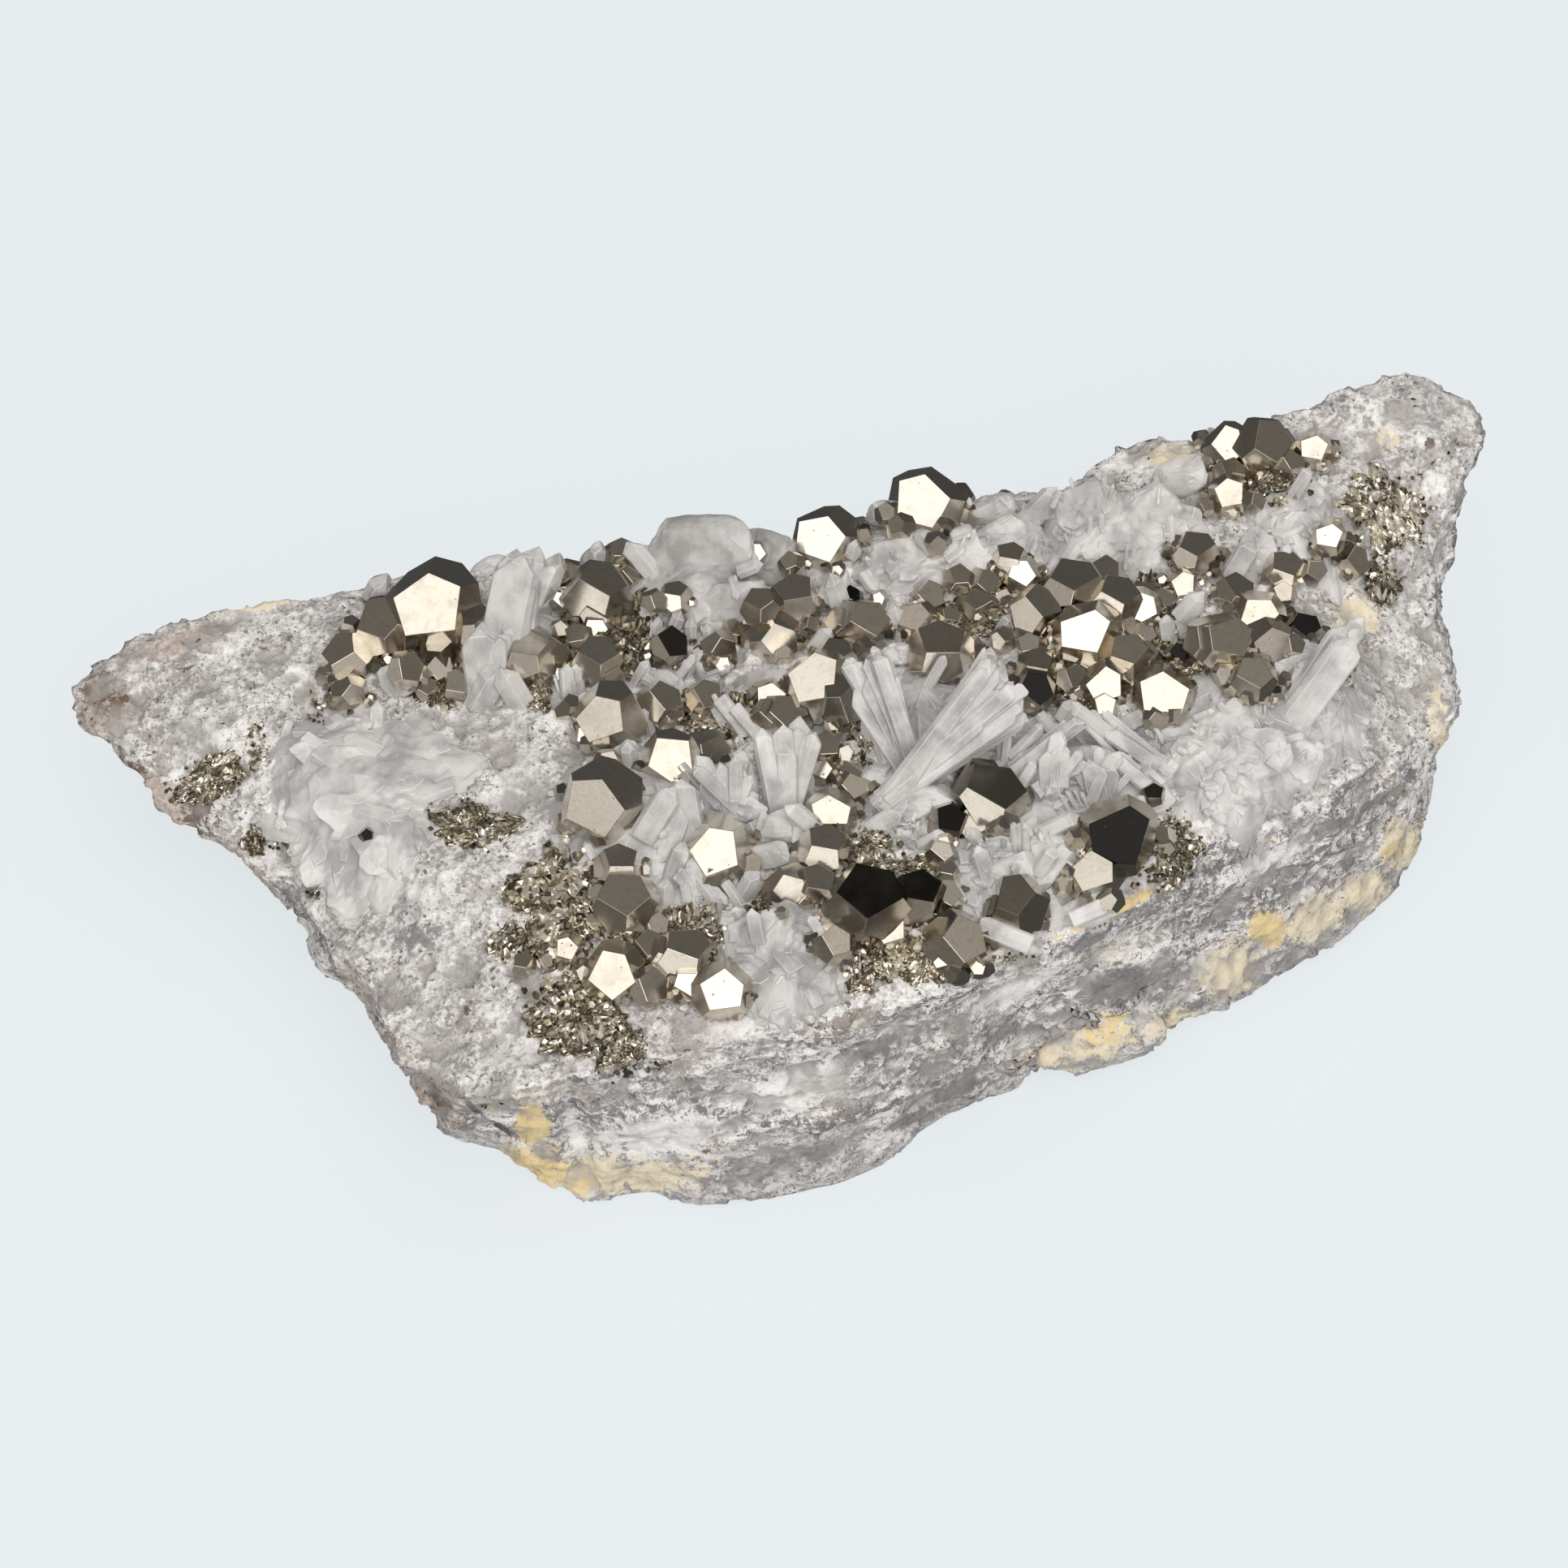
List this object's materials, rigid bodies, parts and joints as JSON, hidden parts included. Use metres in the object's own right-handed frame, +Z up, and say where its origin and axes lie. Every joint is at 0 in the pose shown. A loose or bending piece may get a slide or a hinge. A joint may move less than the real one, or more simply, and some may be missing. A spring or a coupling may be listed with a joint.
{
  "type": "pyrite on quartz mineral specimen",
  "caption": "Slab of pale altered granite with crusts and sprays of milky quartz prisms on top, set with twelve-faced pyrite crystals and granular pyrite.",
  "frame": {"origin": "middle of the bounding box in plan, at the flat broken base that the specimen rests on", "axes": "+X along the long way of the slab, from its thin left tip to the raised horn at its right end; +Y from the broken front face to the back; +Z up through the crystals"},
  "size_m": [0.157, 0.0962, 0.0472],
  "materials": {
    "granite": "matte",
    "quartz": "gloss",
    "pyrite": "polished",
    "pyrite_grains": "satin"
  },
  "bodies": {
    "root": {"rock_matrix": "granite", "pyrite_ridge_right": "pyrite", "pyrite_back_left": "pyrite", "pyrite_centre_long": "pyrite", "pyrite_right_group": "pyrite", "pyrite_front_left_large": "pyrite", "pyrite_back_ridge": "pyrite", "pyrite_front_right_black": "pyrite", "pyrite_front_smoky": "pyrite", "pyrite_front_black": "pyrite", "pyrite_back_pentagon": "pyrite", "pyrite_centre_left": "pyrite", "pyrite_back_edge": "pyrite", "pyrite_fan_top": "pyrite", "pyrite_top_right": "pyrite", "pyrite_centre_left_pentagon": "pyrite", "pyrite_left_front": "pyrite", "pyrite_front_pentagon": "pyrite", "pyrite_centre_back": "pyrite", "pyrite_centre_grey": "pyrite", "pyrite_front_black_2": "pyrite", "pyrite_front_right_bumpy": "pyrite", "pyrite_back_ridge_2": "pyrite", "pyrite_tan_block": "pyrite", "pyrite_centre_back_2": "pyrite", "pyrite_fan_front": "pyrite", "pyrite_tan_block_2": "pyrite", "pyrite_middle_pentagon": "pyrite", "pyrite_front_bar": "pyrite", "pyrite_ridge_black": "pyrite", "pyrite_dark_knob": "pyrite", "pyrite_top_right_2": "pyrite", "pyrite_centre_left_2": "pyrite", "pyrite_right_group_2": "pyrite", "pyrite_ridge_bright": "pyrite", "pyrite_fan_front_2": "pyrite", "pyrite_top_right_3": "pyrite", "pyrite_left_of_centre": "pyrite", "pyrite_ridge_back": "pyrite", "pyrite_back_ridge_3": "pyrite", "pyrite_ridge_right_2": "pyrite", "pyrite_grains_front_left_low": "pyrite_grains", "pyrite_grains_right_back": "pyrite_grains", "pyrite_grains_front_left": "pyrite_grains", "pyrite_grains_right_rim": "pyrite_grains", "pyrite_grains_far_left": "pyrite_grains", "pyrite_grains_front_middle": "pyrite_grains", "pyrite_grains_front_right": "pyrite_grains", "quartz_spray": "quartz", "quartz_back_centre": "quartz", "quartz_centre": "quartz", "quartz_left": "quartz", "quartz_back": "quartz", "quartz_back_left": "quartz", "quartz_front": "quartz", "quartz_right_back": "quartz", "quartz_fan": "quartz"}
  },
  "joints": []
}
